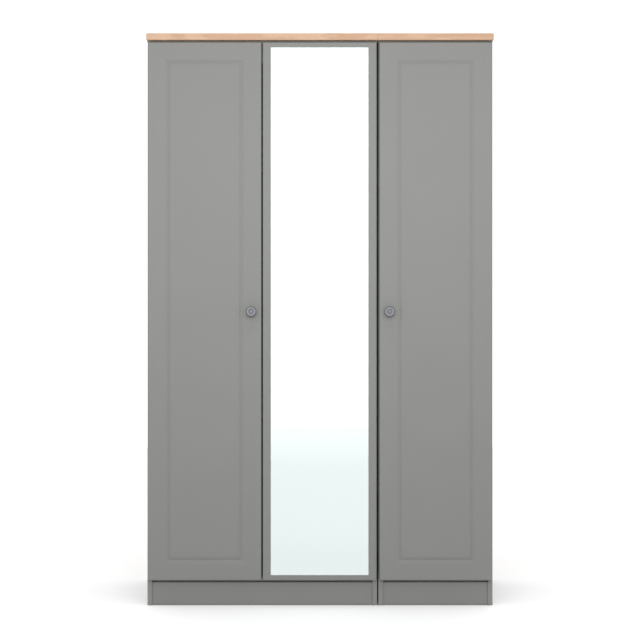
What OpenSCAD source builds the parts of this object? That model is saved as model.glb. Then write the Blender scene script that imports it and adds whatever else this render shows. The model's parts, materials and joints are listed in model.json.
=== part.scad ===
// Three-door wardrobe: a double unit with a panelled door and a mirror door,
// bolted to a single unit with a panelled door.
// X runs to the right, Y to the back and Z up. The origin is on the floor, at the middle of the
// whole object's width and depth. All sizes are in millimetres.

/* [Overall] */
// Height from the floor to the face of the top panels
height = 1830; // [1500:1:2200]
// Front to back size of the top panels
depth = 530; // [440:1:640]
// Width of the double unit's top panel
double_w = 740; // [620:1:900]
// Width of the single unit's top panel
single_w = 370; // [310:1:450]
// Thickness of the top panels
top_t = 22; // [16:0.5:30]
// How far a top panel stands over the carcass at each side
top_side_lip = 2; // [1:0.5:8]
// How far a top panel stands over the door faces
top_front_lip = 4; // [2:0.5:25]

/* [Carcass] */
// Thickness of the side, floor, rail and shelf boards
board_t = 15; // [14:0.5:18]
// Thickness of the hardboard backs
back_t = 3; // [3:0.5:6]
// How far a back stops short of the carcass's edges
back_inset = 2; // [1:0.5:5]
// Height of the plinth's upper edge
plinth_h = 80; // [60:1:110]
// How far the plinth is set back from the sides' front edges
plinth_setback = 3; // [0:0.5:30]
// Clear height under the plinth
plinth_lift = 1.5; // [0.5:0.5:5]
// Height of the shadow groove along the plinth's upper front edge
plinth_groove_h = 6; // [1:0.5:10]
// Depth of that groove
plinth_groove_d = 10; // [1:0.5:11]
// Height of the rails under the top panel
rail_h = 70; // [50:1:100]
// Distance from the top panel down to the hat shelf's middle plane
shelf_drop = 292; // [150:1:500]
// How far the hat shelf is set back from the sides' front edges
shelf_setback = 25; // [5:1:80]
// Clearance round the hat shelf
shelf_gap = 1; // [0.5:0.5:3]

/* [Hanging rail] */
// Distance from the hat shelf's middle plane down to the hanging rail's axis
hanging_drop = 99; // [60:1:160]
// Outer diameter of the hanging rail
hanging_d = 19; // [16:0.5:25]
// Wall of the hanging rail's tube
hanging_wall = 1; // [0.8:0.1:2]
// Radial clearance of the rail in its sockets
socket_gap = 0.2; // [0.1:0.05:0.5]
// Thickness of a socket's base
socket_base_t = 3; // [2:0.5:4]
// Length of a socket's collar beyond its base
socket_collar = 10; // [6:0.5:20]

/* [Doors] */
// Thickness of the doors
door_t = 18; // [18:0.5:22]
// Gap between the doors' backs and the sides' front edges
door_clear = 2; // [2:0.1:3]
// How far a door's edge lies inside the carcass's outer face
door_side_inset = 2.5; // [1.5:0.5:5]
// Gap between the two doors of the double unit
door_pair_gap = 4; // [3:0.5:8]
// Gap between the doors and the top panel
door_top_gap = 6; // [2:0.5:12]
// Height of the doors' lower edge above the plinth's upper edge
door_bottom_gap = 3; // [1:0.5:6]
// Radius of the doors' rounded edges
door_round = 4; // [3.5:0.1:6]

/* [Door moulding] */
// Distance from the door's edges to the moulding's outer border
mould_inset = 50; // [46:1:90]
// Width of the moulding
mould_w = 30; // [20:1:45]
// Depth of the moulding's channel
mould_d = 3.5; // [2:0.25:6]

/* [Mirror] */
// Width of the frame at each side of the glass
mirror_side_border = 25.5; // [12:0.5:60]
// Width of the frame above and below the glass
mirror_end_border = 17; // [8:0.5:60]
// Thickness of the glass
mirror_t = 3; // [3:0.5:4]
// Thickness of the mounting tape
tape_t = 0.5; // [0.5:0.1:1]
// Width of a strip of mounting tape
tape_w = 25; // [12:1:40]
// Number of tape strips
tape_count = 5; // [3:1:7]
// Depth of the rebate that the glass lies in
rebate_d = 1.5; // [1:0.25:2]
// Clearance round the glass in its rebate
mirror_gap = 0.4; // [0.2:0.1:1]

/* [Knobs] */
// Diameter of the knobs
knob_d = 33; // [26:0.5:40]
// How far a knob stands out from its door
knob_reach = 28; // [22:0.5:35]
// Distance from the door's free edge to the knob's axis
knob_inset = 32; // [22:0.5:45]
// Height of the knobs' axes
knob_z = 941; // [700:1:1200]

/* [Hinges] */
// Number of hinges on each door
hinge_count = 4; // [3:1:5]
// Distance from the door's ends to the nearest hinge
hinge_end = 100; // [80:1:160]
// Diameter of the hinge cups
cup_d = 35; // [35:1:35]
// Depth of the hinge cups
cup_h = 14; // [14:0.5:14]
// Wood left between a cup and the door's edge
cup_edge = 3; // [3:0.5:3]
// Radius of the hinge pins
pin_r = 1.5; // [1.5:0.1:1.5]
// Radial running clearance between a pin and its arm
pin_gap = 0.05; // [0.02:0.01:0.1]

/* [Fixings] */
// Diameter of the wooden dowels
dowel_d = 8; // [6:1:8]
// Length of the wooden dowels
dowel_l = 30; // [25:1:35]
// Diameter of the cam locks
cam_d = 15; // [15:1:15]
// Distance from a joint to the cams' axes
cam_reach = 34; // [24:1:34]
// Distance from the front and rear edges to the cams
cam_inset = 60; // [40:1:120]
// Diameter of the shelf pins
shelf_pin_d = 5; // [5:0.5:6]
// Distance from the shelf's front and rear edges to its pins
shelf_pin_inset = 60; // [30:1:120]
// Screws down each side of a back
back_screws = 7; // [4:1:10]
// Height of the lower pair of unit connectors
connector_low = 400; // [330:1:560]
// Distance from the top panel down to the upper pair of unit connectors
connector_drop = 458; // [420:1:560]
// Distance from the carcass's front and rear edges to the connectors
connector_inset = 30; // [22:1:60]
// Radius of the wall fixing holes
wall_hole_r = 3; // [2:0.5:4]
// Distance from the sides' inner faces to the wall fixing holes
wall_hole_inset = 60; // [40:1:120]

/* [Hidden] */
$fn = 48;

tiny = 0.01;

// Colours of the finishes
grey_foil = "#9a9b99";
oak_foil = "#d9bd9b";
board_grey = "#b4b5b3";
hardboard = "#c9c6bf";
steel = "#c3c6c8";
pewter = "#a8a8a6";
beech = "#d8b98c";
mirror_silver = "#d9e8ea";
white_plastic = "#e8e8e4";

// Planes from front to back
whole_depth = depth + knob_reach - top_front_lip;
rear_y = whole_depth / 2;
top_front_y = rear_y - depth;
door_face_y = top_front_y + top_front_lip;
door_back_y = door_face_y + door_t;
front_y = door_back_y + door_clear;
board_rear_y = rear_y - back_t;
mid_y = (front_y + board_rear_y) / 2;

// Planes from bottom to top
under_top_z = height - top_t;
floor_top_z = plinth_h + board_t;
rail_mid_z = under_top_z - rail_h / 2;
shelf_z = under_top_z - shelf_drop;
hanging_z = shelf_z - hanging_drop;
door_z0 = plinth_h + door_bottom_gap;
door_z1 = under_top_z - door_top_gap;
door_h = door_z1 - door_z0;

// Each unit is [left end of its top panel, right end of its top panel]
double_unit = [-(double_w + single_w) / 2, (double_w - single_w) / 2];
single_unit = [double_unit[1], (double_w + single_w) / 2];
units = [double_unit, single_unit];
function outer_left(u) = u[0] + top_side_lip;
function outer_right(u) = u[1] - top_side_lip;
function inner_left(u) = outer_left(u) + board_t;
function inner_right(u) = outer_right(u) - board_t;
function inner_w(u) = inner_right(u) - inner_left(u);

// Each door is [left edge, right edge, side of its hinges: -1 is left and 1 is right]
pair_x0 = outer_left(double_unit) + door_side_inset;
pair_x1 = outer_right(double_unit) - door_side_inset;
pair_w = (pair_x1 - pair_x0 - door_pair_gap) / 2;
left_door = [pair_x0, pair_x0 + pair_w, -1];
mirror_door = [pair_x1 - pair_w, pair_x1, 1];
right_door = [
    outer_left(single_unit) + door_side_inset,
    outer_right(single_unit) - door_side_inset,
    1
];
doors = [left_door, mirror_door, right_door];
function door_w(d) = d[1] - d[0];
function hinge_edge(d) = d[2] < 0 ? d[0] : d[1];
function free_edge(d) = d[2] < 0 ? d[1] : d[0];

// The hinge's own frame: its origin is the pin's axis, X runs into the door's width and Y back
pin_inset = 8;
pin_depth = 10;
arm_t = 2.5;
arm_h = 8;
eye_r = 2.8;
cup_wall = 1;
cup_floor = 0.8;
cup_r = cup_d / 2;
cup_x = cup_edge + cup_r - pin_inset;
cup_bottom_y = pin_depth - cup_h;
flange_t = 1;
flange_start_x = -1;
ear_x = cup_x + 9.5;
ear_z = 22.5;
ear_w = 14;
lug_z = 6.5;
pin_l = 19.6;
side_face_x = board_t - door_side_inset - pin_inset;
side_front_y = pin_depth + door_clear;
plate_t = 3;
plate_screw_y = side_front_y + 37;
plate_screw_z = 16;
plate_wing = 12;
arm_tail_y0 = side_front_y + 12;
arm_tail_y1 = side_front_y + 56;
arm_tail_x = side_face_x + plate_t + arm_t / 2;
arm_tail_h = 14;
arm_screw_y = side_front_y + 47;
arm_path = [
    [0, 0], [12, 0], [14, 1.5], [15, 4], [15, side_front_y + 2],
    [arm_tail_x, arm_tail_y0], [arm_tail_x, arm_tail_y1]
];

// Screws are [shank radius, shank length, head radius, head height]
plate_screw = [1.75, 11.5, 3.5, 1.5];
arm_screw = [2, plate_t + arm_t - 0.1, 4, 1.8];
cup_screw = [1.5, 11, 3.2, 1.2];
socket_screw = [1.75, 11.5, 3, 1.5];
back_screw = [1.25, 14, 2.6, 1.8];
knob_screw = [2, door_t + 8, 4, 2.2];

socket_r = 20;
socket_collar_r = hanging_d / 2 + 3;
socket_screw_z = 16;
cam_depth = 12.5;
cam_bolt_r = 3.5;
cam_thread_r = 2.5;
cam_thread_l = 10;
cam_slot_gap = 0.1;
dowel_in_side = 10;
dowel_end_gap = 0.5;
dowel_spread = 20;
sleeve_r = 4;
bolt_r = 2.5;
connector_head_r = 7;
connector_head_t = 2;
spacer_r = 10;
bumper_r = 4;
bumper_t = 1.7;
bumper_inset = 22;
knob_neck_r = 6.5;
knob_foot_r = 9;
tape_end_gap = 8;
tape_side_gap = 30;

// ---------------------------------------------------------------- helpers

// A box between two opposite corners
module block(a, b) {
    translate(a) cube(b - a);
}

// A rod from p along +X, +Y or +Z
module rod_x(p, r, l) {
    translate(p) rotate([0, 90, 0]) cylinder(r = r, h = l);
}
module rod_y(p, r, l) {
    translate(p) rotate([-90, 0, 0]) cylinder(r = r, h = l);
}

// A rectangle with round corners, its lower left corner at the origin
module round_rect(w, h, r) {
    translate([r, 0]) square([w - 2 * r, h]);
    translate([0, r]) square([w, h - 2 * r]);
    for (x = [r, w - r], y = [r, h - r]) translate([x, y]) circle(r = r);
}

// A pan head screw whose head stands on z = 0 and whose shank runs down
module pan_screw(s) {
    translate([0, 0, -s[1]]) cylinder(r = s[0], h = s[1] + tiny);
    cylinder(r1 = s[2], r2 = s[2] * 0.75, h = s[3]);
}

// A countersunk screw, or its seat, with its face on z = 0 and its shank running down
module flat_screw(s) {
    translate([0, 0, -s[1]]) cylinder(r = s[0], h = s[1]);
    translate([0, 0, -s[3]]) cylinder(r1 = s[0], r2 = s[2], h = s[3]);
}

// The outline of a strip of even width along a path
function along(p, i) = (p[i + 1] - p[i]) / norm(p[i + 1] - p[i]);
function across(p, i) = [-along(p, i)[1], along(p, i)[0]];
function corner(p, i) =
    i == 0 ? across(p, 0)
    : i == len(p) - 1 ? across(p, i - 1)
    : (across(p, i - 1) + across(p, i)) / (1 + across(p, i - 1) * across(p, i));
function strip(p, w) = concat(
    [for (i = [0 : len(p) - 1]) p[i] - corner(p, i) * w / 2],
    [for (i = [len(p) - 1 : -1 : 0]) p[i] + corner(p, i) * w / 2]
);

// ---------------------------------------------------------------- places that repeat

hinge_zs = [
    for (i = [0 : hinge_count - 1])
        door_z0 + hinge_end + i * (door_h - 2 * hinge_end) / (hinge_count - 1)
];

// Puts a child at each hinge of a door, in the hinge's own frame
module at_hinges(d) {
    for (z = hinge_zs)
        translate([hinge_edge(d) - d[2] * pin_inset, door_back_y - pin_depth, z])
            mirror([d[2] > 0 ? 1 : 0, 0, 0])
                children();
}

// Puts a child at both ends of the space between a unit's sides, with X running inwards
module at_inner_faces(u, y, z) {
    translate([inner_left(u), y, z]) children();
    translate([inner_right(u), y, z]) mirror([1, 0, 0]) children();
}

// Puts a child at each dowel, with X running from the side's inner face into the rail
module at_dowels(u) {
    for (dz = [-dowel_spread, dowel_spread]) {
        at_inner_faces(u, front_y + board_t / 2, rail_mid_z + dz) children();
        at_inner_faces(u, board_rear_y - board_t / 2, rail_mid_z + dz) children();
        at_inner_faces(u, front_y + plinth_setback + board_t / 2,
            (plinth_h + plinth_lift) / 2 + dz) children();
    }
}

cam_ys = [front_y + cam_inset, board_rear_y - cam_inset];

// Puts a child at each cam joint: X runs into the board that holds the cam, and the cam
// goes in from the face at -Z
module at_floor_cams(u) {
    for (y = cam_ys) at_inner_faces(u, y, plinth_h + board_t / 2) children();
}
module at_top_cams(u) {
    for (y = cam_ys) {
        translate([outer_left(u) + board_t / 2, y, under_top_z])
            mirror([1, 0, 0]) rotate([0, 90, 0]) children();
        translate([outer_right(u) - board_t / 2, y, under_top_z])
            rotate([0, 90, 0]) children();
    }
}

// Puts a child at each end of the hanging rail, with Z running inwards from the side's face
module at_socket_ends(u) {
    at_inner_faces(u, mid_y, hanging_z) rotate([0, 90, 0]) children();
}

// Puts a child at each socket screw, on the side's face with Z running inwards
module at_socket_screws(u) {
    at_socket_ends(u)
        for (s = [-1, 1]) translate([s * socket_screw_z, 0, 0]) children();
}

shelf_y0 = front_y + shelf_setback;
shelf_y1 = board_rear_y - shelf_gap;
shelf_pin_z = shelf_z - board_t / 2 - shelf_pin_d / 2;
shelf_pin_in = 8;
shelf_pin_out = 9;

// Puts a child at each shelf pin, at the side's inner face with X running inwards
module at_shelf_pins(u) {
    for (y = [shelf_y0 + shelf_pin_inset, shelf_y1 - shelf_pin_inset])
        at_inner_faces(u, y, shelf_pin_z) children();
}

back_z0 = plinth_h + back_inset;
back_z1 = under_top_z - back_inset;
back_screw_end = 25;
back_screw_zs = [
    for (i = [0 : back_screws - 1])
        back_z0 + back_screw_end
            + i * (rail_mid_z - back_z0 - back_screw_end) / (back_screws - 1)
];

// Puts a child at each screw of a back, on its rear face with Z running out of it
module at_back_screws(u) {
    xs = [outer_left(u) + board_t / 2, outer_right(u) - board_t / 2];
    for (x = xs, z = back_screw_zs)
        translate([x, rear_y, z]) rotate([-90, 0, 0]) children();
    for (f = [0.25, 0.5, 0.75], z = [plinth_h + board_t / 2, rail_mid_z])
        translate([xs[0] + f * (xs[1] - xs[0]), rear_y, z]) rotate([-90, 0, 0]) children();
}

// Puts a child at each wall fixing hole of a unit, on the back's rear face
module at_wall_holes(u) {
    for (x = [inner_left(u) + wall_hole_inset, inner_right(u) - wall_hole_inset])
        translate([x, rear_y, rail_mid_z]) rotate([90, 0, 0]) children();
}

connector_x0 = inner_right(double_unit);
connector_x1 = inner_left(single_unit);

// Puts a child at each unit connector, at the double unit's inner face
module at_connectors() {
    for (y = [front_y + connector_inset, board_rear_y - connector_inset],
            z = [connector_low, under_top_z - connector_drop])
        translate([connector_x0, y, z]) rotate([0, 90, 0]) children();
}

// Puts a child at each hinge plate's screw, on the side's inner face with Z running inwards
module at_plate_screws(d) {
    at_hinges(d)
        for (s = [-1, 1])
            translate([side_face_x, plate_screw_y, s * plate_screw_z])
                rotate([0, 90, 0]) children();
}

// ---------------------------------------------------------------- carcass boards

module top_panel(u) {
    color(oak_foil) difference() {
        block([u[0], top_front_y, under_top_z], [u[1], rear_y, height]);
        at_top_cams(u) rod_x([-cam_thread_l, 0, 0], cam_thread_r, cam_thread_l);
    }
}

// The bores that each side board of a unit has, the hinges' and connectors' apart
module side_bores(u) {
    at_dowels(u)
        rod_x([-dowel_in_side - dowel_end_gap, 0, 0], dowel_d / 2,
            dowel_in_side + dowel_end_gap);
    at_floor_cams(u) rod_x([-cam_thread_l, 0, 0], cam_thread_r, cam_thread_l);
    at_top_cams(u) cam_pocket();
    at_socket_screws(u) translate([0, 0, -socket_screw[1] + socket_base_t])
        cylinder(r = socket_screw[0], h = socket_screw[1]);
    at_shelf_pins(u) rod_x([-shelf_pin_in, 0, 0], shelf_pin_d / 2, shelf_pin_in);
    at_back_screws(u) flat_screw(back_screw);
}

module plate_bores(d) {
    at_plate_screws(d) translate([0, 0, plate_t - plate_screw[1]])
        cylinder(r = plate_screw[0], h = plate_screw[1]);
}

module side_board(u, x) {
    color(board_grey) difference() {
        block([x, front_y, 0], [x + board_t, board_rear_y, under_top_z]);
        side_bores(u);
        for (d = doors) plate_bores(d);
        at_connectors() cylinder(r = sleeve_r, h = connector_x1 - connector_x0);
    }
}

module floor_panel(u) {
    color(board_grey) difference() {
        block([inner_left(u), front_y, plinth_h], [inner_right(u), board_rear_y, floor_top_z]);
        at_floor_cams(u) cam_pocket();
        at_back_screws(u) flat_screw(back_screw);
    }
}

module rail_dowel_bores(u) {
    at_dowels(u) rod_x([0, 0, 0], dowel_d / 2, dowel_l - dowel_in_side + dowel_end_gap);
}

module plinth(u) {
    y = front_y + plinth_setback;
    color(grey_foil) difference() {
        block([inner_left(u), y, plinth_lift], [inner_right(u), y + board_t, plinth_h]);
        block([inner_left(u) - 1, y - 1, plinth_h - plinth_groove_h],
            [inner_right(u) + 1, y + plinth_groove_d, plinth_h + 1]);
        rail_dowel_bores(u);
    }
}

module front_rail(u) {
    color(board_grey) difference() {
        block([inner_left(u), front_y, under_top_z - rail_h],
            [inner_right(u), front_y + board_t, under_top_z]);
        rail_dowel_bores(u);
    }
}

module rear_rail(u) {
    color(board_grey) difference() {
        block([inner_left(u), board_rear_y - board_t, under_top_z - rail_h],
            [inner_right(u), board_rear_y, under_top_z]);
        rail_dowel_bores(u);
        at_back_screws(u) flat_screw(back_screw);
        at_wall_holes(u) cylinder(r = wall_hole_r, h = back_t + board_t + 1);
    }
}

module back_panel(u) {
    color(hardboard) difference() {
        block([outer_left(u) + back_inset, board_rear_y, back_z0],
            [outer_right(u) - back_inset, rear_y, back_z1]);
        at_back_screws(u) flat_screw(back_screw);
        at_wall_holes(u) translate([0, 0, -1]) cylinder(r = wall_hole_r, h = back_t + 2);
    }
}

module hat_shelf(u) {
    color(board_grey)
        block([inner_left(u) + shelf_gap, shelf_y0, shelf_z - board_t / 2],
            [inner_right(u) - shelf_gap, shelf_y1, shelf_z + board_t / 2]);
}

// ---------------------------------------------------------------- carcass fittings

module hanging_rail(u) {
    l = inner_w(u) - 2 * (socket_base_t + socket_gap);
    color(steel)
        translate([inner_left(u) + socket_base_t + socket_gap, mid_y, hanging_z])
            rotate([0, 90, 0]) difference() {
                cylinder(d = hanging_d, h = l);
                translate([0, 0, -1])
                    cylinder(d = hanging_d - 2 * hanging_wall, h = l + 2);
            }
}

module hanging_rail_sockets() {
    color(white_plastic) for (u = units) difference() {
        at_socket_ends(u) difference() {
            union() {
                cylinder(r = socket_r, h = socket_base_t);
                cylinder(r = socket_collar_r, h = socket_base_t + socket_collar);
            }
            translate([0, 0, socket_base_t])
                cylinder(r = hanging_d / 2 + socket_gap, h = socket_collar + 1);
        }
        at_socket_screws(u) cylinder(r = socket_screw[0], h = socket_base_t + 1);
    }
}

module socket_screws() {
    color(steel) for (u = units)
        at_socket_screws(u) translate([0, 0, socket_base_t]) pan_screw(socket_screw);
}

module shelf_pins() {
    color(steel) for (u = units)
        at_shelf_pins(u)
            rod_x([-shelf_pin_in, 0, 0], shelf_pin_d / 2, shelf_pin_in + shelf_pin_out);
}

module carcass_dowels() {
    color(beech) for (u = units)
        at_dowels(u) rod_x([-dowel_in_side, 0, 0], dowel_d / 2, dowel_l);
}

// The round pocket and the edge bore that a cam joint needs
module cam_pocket() {
    translate([cam_reach, 0, -board_t / 2]) cylinder(d = cam_d, h = cam_depth);
    rod_x([0, 0, 0], cam_bolt_r, cam_reach);
}

module cam_locks() {
    module cam() {
        difference() {
            translate([cam_reach, 0, -board_t / 2]) cylinder(d = cam_d, h = cam_depth);
            rod_x([cam_reach - cam_d, 0, 0], cam_bolt_r + cam_slot_gap, cam_d);
            translate([cam_reach, 0, -board_t / 2]) {
                cube([cam_d * 0.7, 1.4, 3], center = true);
                cube([1.4, cam_d * 0.7, 3], center = true);
            }
        }
    }
    color(steel) for (u = units) {
        at_floor_cams(u) cam();
        at_top_cams(u) cam();
    }
}

module cam_bolts() {
    module cam_bolt() {
        rod_x([-cam_thread_l, 0, 0], cam_thread_r, cam_thread_l + tiny);
        rod_x([0, 0, 0], cam_bolt_r, cam_reach);
    }
    color(steel) for (u = units) {
        at_floor_cams(u) cam_bolt();
        at_top_cams(u) cam_bolt();
    }
}

module back_panel_screws() {
    color(steel) for (u = units) at_back_screws(u) flat_screw(back_screw);
}

// A sleeve nut from the double unit's side and a bolt into it from the single unit's side
module connector_sleeves() {
    color(steel) at_connectors() difference() {
        union() {
            translate([0, 0, -connector_head_t])
                cylinder(r = connector_head_r, h = connector_head_t);
            cylinder(r = sleeve_r, h = connector_x1 - connector_x0);
        }
        cylinder(r = bolt_r, h = connector_x1 - connector_x0 + 1);
    }
}

module connector_bolts() {
    color(steel) at_connectors() {
        cylinder(r = bolt_r, h = connector_x1 - connector_x0 + tiny);
        translate([0, 0, connector_x1 - connector_x0])
            cylinder(r = connector_head_r, h = connector_head_t);
    }
}

module connector_spacers() {
    color(white_plastic) at_connectors() translate([0, 0, board_t]) difference() {
        cylinder(r = spacer_r, h = 2 * top_side_lip);
        translate([0, 0, -1]) cylinder(r = sleeve_r, h = 2 * top_side_lip + 2);
    }
}

module door_bumpers() {
    color(white_plastic)
        for (d = doors, z = [plinth_h + board_t / 2, rail_mid_z])
            rod_y([free_edge(d) + d[2] * bumper_inset, front_y - bumper_t, z],
                bumper_r, bumper_t);
}

// ---------------------------------------------------------------- hinges

module hinge_arms(d) {
    module arm() {
        difference() {
            union() {
                translate([0, 0, -arm_h / 2]) {
                    linear_extrude(arm_h) polygon(strip(arm_path, arm_t));
                    cylinder(r = eye_r, h = arm_h);
                }
                block([arm_tail_x - arm_t / 2, arm_tail_y0 + 2, -arm_tail_h / 2],
                    [arm_tail_x + arm_t / 2, arm_tail_y1, arm_tail_h / 2]);
            }
            translate([0, 0, -arm_h]) cylinder(r = pin_r + pin_gap, h = 2 * arm_h);
            rod_x([arm_tail_x - arm_t, arm_screw_y, 0], arm_screw[0], 2 * arm_t);
        }
    }
    color(steel) at_hinges(d) arm();
}

module hinge_plates(d) {
    module plate() {
        difference() {
            union() {
                block([side_face_x, arm_tail_y0 + 2, -arm_tail_h / 2],
                    [side_face_x + plate_t, arm_tail_y1, arm_tail_h / 2]);
                for (s = [-1, 1])
                    rod_x([side_face_x, plate_screw_y, s * plate_screw_z],
                        plate_wing / 2, plate_t);
                block([side_face_x, plate_screw_y - plate_wing / 2, -plate_screw_z],
                    [side_face_x + plate_t, plate_screw_y + plate_wing / 2, plate_screw_z]);
            }
            for (s = [-1, 1])
                rod_x([side_face_x - 1, plate_screw_y, s * plate_screw_z],
                    plate_screw[0], plate_t + 2);
            rod_x([side_face_x - 1, arm_screw_y, 0], arm_screw[0], plate_t + 2);
        }
    }
    color(steel) at_hinges(d) plate();
}

module hinge_plate_screws() {
    color(steel) for (d = doors)
        at_plate_screws(d) translate([0, 0, plate_t]) pan_screw(plate_screw);
}

module hinge_arm_screws() {
    color(steel) for (d = doors)
        at_hinges(d) translate([arm_tail_x + arm_t / 2, arm_screw_y, 0])
            rotate([0, 90, 0]) pan_screw(arm_screw);
}

// A cup with its flange, and two lugs inside it that hold the ends of the pin
module hinge_cups(d) {
    module cup() {
        difference() {
            union() {
                difference() {
                    rod_y([cup_x, cup_bottom_y, 0], cup_r, cup_h);
                    rod_y([cup_x, cup_bottom_y + cup_floor, 0], cup_r - cup_wall, cup_h);
                }
                intersection() {
                    rod_y([cup_x, cup_bottom_y, 0], cup_r - cup_wall / 2, cup_h);
                    for (s = [-1, 1])
                        translate([-4, cup_bottom_y + cup_floor / 2, s > 0 ? lug_z : -cup_r])
                            cube([8, 3 - cup_bottom_y, cup_r - lug_z]);
                }
                difference() {
                    intersection() {
                        union() {
                            rod_y([cup_x, pin_depth, 0], cup_r + 1, flange_t);
                            block([ear_x - ear_w / 2, pin_depth, -ear_z],
                                [ear_x + ear_w / 2, pin_depth + flange_t, ear_z]);
                            for (s = [-1, 1])
                                rod_y([ear_x, pin_depth, s * ear_z], ear_w / 2, flange_t);
                        }
                        block([flange_start_x, pin_depth, -2 * cup_r],
                            [4 * cup_r, pin_depth + flange_t, 2 * cup_r]);
                    }
                    rod_y([cup_x, pin_depth - 1, 0], cup_r - cup_wall, flange_t + 2);
                }
            }
            translate([0, 0, -pin_l / 2]) cylinder(r = pin_r, h = pin_l);
            for (s = [-1, 1])
                rod_y([ear_x, pin_depth - 1, s * ear_z], cup_screw[0], flange_t + 2);
        }
    }
    color(steel) at_hinges(d) cup();
}

module hinge_pins(d) {
    color(steel) at_hinges(d) translate([0, 0, -pin_l / 2]) cylinder(r = pin_r, h = pin_l);
}

// Puts a child at each cup screw, on the flange with Z running out of the door
module at_cup_screws(d) {
    at_hinges(d)
        for (s = [-1, 1])
            translate([ear_x, pin_depth + flange_t, s * ear_z])
                rotate([-90, 0, 0]) children();
}

module cup_screws(d) {
    color(steel) at_cup_screws(d) pan_screw(cup_screw);
}

// ---------------------------------------------------------------- doors

// A slab with rounded long edges
module door_slab(d) {
    translate([d[0], door_face_y, door_z0]) intersection() {
        linear_extrude(door_h) round_rect(door_w(d), door_t, door_round);
        translate([door_w(d), 0, 0]) rotate([0, -90, 0])
            linear_extrude(door_w(d)) round_rect(door_h, door_t, door_round);
    }
}

// One side of the moulding's channel: X runs from the door's edge inwards and Y into the door
module mould_profile() {
    o = mould_inset;
    w = mould_w;
    polygon([
        [o, -1], [o, 0], [o + 0.3 * w, 0.2 * mould_d], [o + 0.42 * w, 0.9 * mould_d],
        [o + 0.5 * w, mould_d], [o + 0.6 * w, 0.7 * mould_d], [o + w, 0], [o + w, -1]
    ]);
}

// The channel down one long side, from z = 0 to z = l, with mitred ends
module mould_run(l) {
    far = mould_inset + mould_w + 1;
    intersection() {
        linear_extrude(l) mould_profile();
        translate([0, far, 0]) rotate([90, 0, 0]) linear_extrude(2 * far)
            polygon([[0, 0], [far, far], [far, l - far], [0, l]]);
    }
}

module moulding(d) {
    w = door_w(d);
    translate([d[0], door_face_y, door_z0]) {
        mould_run(door_h);
        translate([w, 0, 0]) mirror([1, 0, 0]) mould_run(door_h);
        rotate([0, 90, 0]) mirror([1, 0, 0]) mould_run(w);
        translate([0, 0, door_h]) rotate([0, 90, 0]) mould_run(w);
    }
}

// The bores that every door has in its back
module cup_bores(d) {
    at_hinges(d) rod_y([cup_x, cup_bottom_y, 0], cup_r, cup_h + 1);
    at_cup_screws(d) translate([0, 0, -cup_screw[1]])
        cylinder(r = cup_screw[0], h = cup_screw[1]);
}

module knob_axis(d) {
    translate([free_edge(d) + d[2] * knob_inset, door_face_y, knob_z]) children();
}

module panelled_door(d) {
    color(grey_foil) difference() {
        door_slab(d);
        moulding(d);
        cup_bores(d);
        knob_axis(d) rod_y([0, -1, 0], knob_screw[0], door_t + 2);
    }
}

mirror_x0 = mirror_door[0] + mirror_side_border;
mirror_x1 = mirror_door[1] - mirror_side_border;
mirror_z0 = door_z0 + mirror_end_border;
mirror_z1 = door_z1 - mirror_end_border;
glass_back_y = door_face_y + rebate_d - tape_t;

module mirror_door_panel() {
    color(grey_foil) difference() {
        door_slab(mirror_door);
        block([mirror_x0 - mirror_gap, door_face_y - 1, mirror_z0 - mirror_gap],
            [mirror_x1 + mirror_gap, door_face_y + rebate_d, mirror_z1 + mirror_gap]);
        cup_bores(mirror_door);
    }
}

module mirror_glass() {
    color(mirror_silver)
        block([mirror_x0, glass_back_y - mirror_t, mirror_z0],
            [mirror_x1, glass_back_y, mirror_z1]);
}

module mirror_tape() {
    run = mirror_x1 - mirror_x0 - 2 * tape_side_gap - tape_w;
    color(white_plastic) for (i = [0 : tape_count - 1]) {
        x = mirror_x0 + tape_side_gap + i * run / (tape_count - 1);
        block([x, glass_back_y, mirror_z0 + tape_end_gap],
            [x + tape_w, glass_back_y + tape_t, mirror_z1 - tape_end_gap]);
    }
}

// A turned knob: a foot, a waist and a wide head with a raised rim round a low dome
module knob(d) {
    r = knob_d / 2;
    l = knob_reach;
    color(pewter) knob_axis(d) rotate([90, 0, 0]) difference() {
        rotate_extrude() polygon([
            [0, 0], [knob_foot_r, 0], [knob_foot_r, 1.5], [knob_neck_r, 4.5],
            [knob_neck_r, 0.42 * l], [0.8 * r, 0.62 * l], [0.97 * r, 0.72 * l],
            [r, 0.79 * l], [0.97 * r, 0.87 * l], [0.88 * r, 0.91 * l],
            [0.78 * r, 0.88 * l], [0.62 * r, 0.93 * l], [0.35 * r, 0.985 * l], [0, l]
        ]);
        translate([0, 0, -1]) cylinder(r = knob_screw[0], h = knob_screw[1] - door_t + 1);
    }
}

module knob_screw(d) {
    color(steel) knob_axis(d) translate([0, door_t, 0])
        rotate([-90, 0, 0]) pan_screw(knob_screw);
}

// ---------------------------------------------------------------- nodes

top_panel(double_unit);  // double_top_panel
side_board(double_unit, outer_left(double_unit));  // double_left_side
side_board(double_unit, inner_right(double_unit));  // double_right_side
floor_panel(double_unit);  // double_floor_panel
plinth(double_unit);  // double_plinth
front_rail(double_unit);  // double_front_rail
rear_rail(double_unit);  // double_rear_rail
back_panel(double_unit);  // double_back_panel
hat_shelf(double_unit);  // double_hat_shelf
hanging_rail(double_unit);  // double_hanging_rail
top_panel(single_unit);  // single_top_panel
side_board(single_unit, outer_left(single_unit));  // single_left_side
side_board(single_unit, inner_right(single_unit));  // single_right_side
floor_panel(single_unit);  // single_floor_panel
plinth(single_unit);  // single_plinth
front_rail(single_unit);  // single_front_rail
rear_rail(single_unit);  // single_rear_rail
back_panel(single_unit);  // single_back_panel
hat_shelf(single_unit);  // single_hat_shelf
hanging_rail(single_unit);  // single_hanging_rail
hanging_rail_sockets();
socket_screws();
shelf_pins();
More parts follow.
